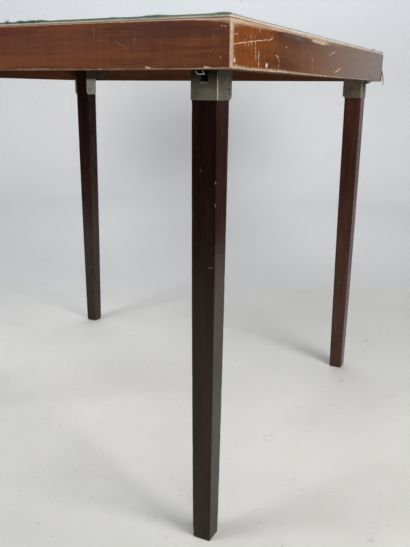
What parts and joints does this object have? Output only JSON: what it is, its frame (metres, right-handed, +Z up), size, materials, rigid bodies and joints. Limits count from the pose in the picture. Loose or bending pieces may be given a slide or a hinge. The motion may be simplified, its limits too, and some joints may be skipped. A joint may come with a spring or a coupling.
{
  "type": "folding bridge table",
  "caption": "Square card table with a thin felt-covered top on a mitred wooden frame, and tapered legs that fold up inside the frame on steel sockets with spring catches.",
  "frame": {"origin": "on the floor, under the middle of the top", "axes": "+Z up, X and Y along the sides of the top, the front apron towards -Y"},
  "size_m": [0.76, 0.76, 0.682],
  "materials": {
    "green_felt": "napped wool felt, worn at the edge",
    "top_board": "raw thin board",
    "batten_wood": "planed softwood",
    "apron_mahogany": "worn satin varnish",
    "leg_mahogany": "worn satin varnish",
    "plated_steel": "dull tarnished plating",
    "catch_steel": "darkened spring steel",
    "fasteners": "plain steel, dulled"
  },
  "bodies": {
    "table_frame": {"felt_top": "green_felt", "top_board": "top_board", "board_brads": "fasteners", "centre_batten": "batten_wood", "front_apron": "apron_mahogany", "right_apron": "apron_mahogany", "back_apron": "apron_mahogany", "left_apron": "apron_mahogany", "front_right_hinge_bracket": "plated_steel", "front_right_bracket_screws": "fasteners", "front_right_pivot_pin": "plated_steel", "front_right_catch_pin": "fasteners", "back_right_hinge_bracket": "plated_steel", "back_right_bracket_screws": "fasteners", "back_right_pivot_pin": "plated_steel", "back_right_catch_pin": "fasteners", "back_left_hinge_bracket": "plated_steel", "back_left_bracket_screws": "fasteners", "back_left_pivot_pin": "plated_steel", "back_left_catch_pin": "fasteners", "front_left_hinge_bracket": "plated_steel", "front_left_bracket_screws": "fasteners", "front_left_pivot_pin": "plated_steel", "front_left_catch_pin": "fasteners"},
    "front_right_folding_leg": {"front_right_leg": "leg_mahogany", "front_right_leg_socket": "plated_steel", "front_right_socket_nails": "fasteners"},
    "front_right_spring_catch": {"front_right_catch_lever": "catch_steel", "front_right_catch_spring": "catch_steel", "front_right_catch_rivet": "fasteners"},
    "back_right_folding_leg": {"back_right_leg": "leg_mahogany", "back_right_leg_socket": "plated_steel", "back_right_socket_nails": "fasteners"},
    "back_right_spring_catch": {"back_right_catch_lever": "catch_steel", "back_right_catch_spring": "catch_steel", "back_right_catch_rivet": "fasteners"},
    "back_left_folding_leg": {"back_left_leg": "leg_mahogany", "back_left_leg_socket": "plated_steel", "back_left_socket_nails": "fasteners"},
    "back_left_spring_catch": {"back_left_catch_lever": "catch_steel", "back_left_catch_spring": "catch_steel", "back_left_catch_rivet": "fasteners"},
    "front_left_folding_leg": {"front_left_leg": "leg_mahogany", "front_left_leg_socket": "plated_steel", "front_left_socket_nails": "fasteners"},
    "front_left_spring_catch": {"front_left_catch_lever": "catch_steel", "front_left_catch_spring": "catch_steel", "front_left_catch_rivet": "fasteners"}
  },
  "joints": [
    {"name": "front_right_leg_fold", "type": "hinge", "parent": "table_frame", "child": "front_right_folding_leg", "pos_m": [0.3364, -0.33751, 0.648], "axis": [1, 0, 0], "range_deg": [0, 90]},
    {"name": "front_right_catch_release", "type": "hinge", "parent": "table_frame", "child": "front_right_spring_catch", "pos_m": [0.3364, -0.3597, 0.661], "axis": [-1, 0, 0], "range_deg": [0, 5], "stiffness_Nm_per_rad": 0.3, "springref_deg": -11.46, "deforming": ["front_right_catch_spring"]},
    {"name": "back_right_leg_fold", "type": "hinge", "parent": "table_frame", "child": "back_right_folding_leg", "pos_m": [0.33751, 0.3364, 0.648], "axis": [0, 1, 0], "range_deg": [0, 90]},
    {"name": "back_right_catch_release", "type": "hinge", "parent": "table_frame", "child": "back_right_spring_catch", "pos_m": [0.3597, 0.3364, 0.661], "axis": [0, -1, 0], "range_deg": [0, 5], "stiffness_Nm_per_rad": 0.3, "springref_deg": -11.46, "deforming": ["back_right_catch_spring"]},
    {"name": "back_left_leg_fold", "type": "hinge", "parent": "table_frame", "child": "back_left_folding_leg", "pos_m": [-0.3364, 0.33751, 0.648], "axis": [-1, 0, 0], "range_deg": [0, 90]},
    {"name": "back_left_catch_release", "type": "hinge", "parent": "table_frame", "child": "back_left_spring_catch", "pos_m": [-0.3364, 0.3597, 0.661], "axis": [1, 0, 0], "range_deg": [0, 5], "stiffness_Nm_per_rad": 0.3, "springref_deg": -11.46, "deforming": ["back_left_catch_spring"]},
    {"name": "front_left_leg_fold", "type": "hinge", "parent": "table_frame", "child": "front_left_folding_leg", "pos_m": [-0.33751, -0.3364, 0.648], "axis": [0, -1, 0], "range_deg": [0, 90]},
    {"name": "front_left_catch_release", "type": "hinge", "parent": "table_frame", "child": "front_left_spring_catch", "pos_m": [-0.3597, -0.3364, 0.661], "axis": [0, 1, 0], "range_deg": [0, 5], "stiffness_Nm_per_rad": 0.3, "springref_deg": -11.46, "deforming": ["front_left_catch_spring"]}
  ]
}
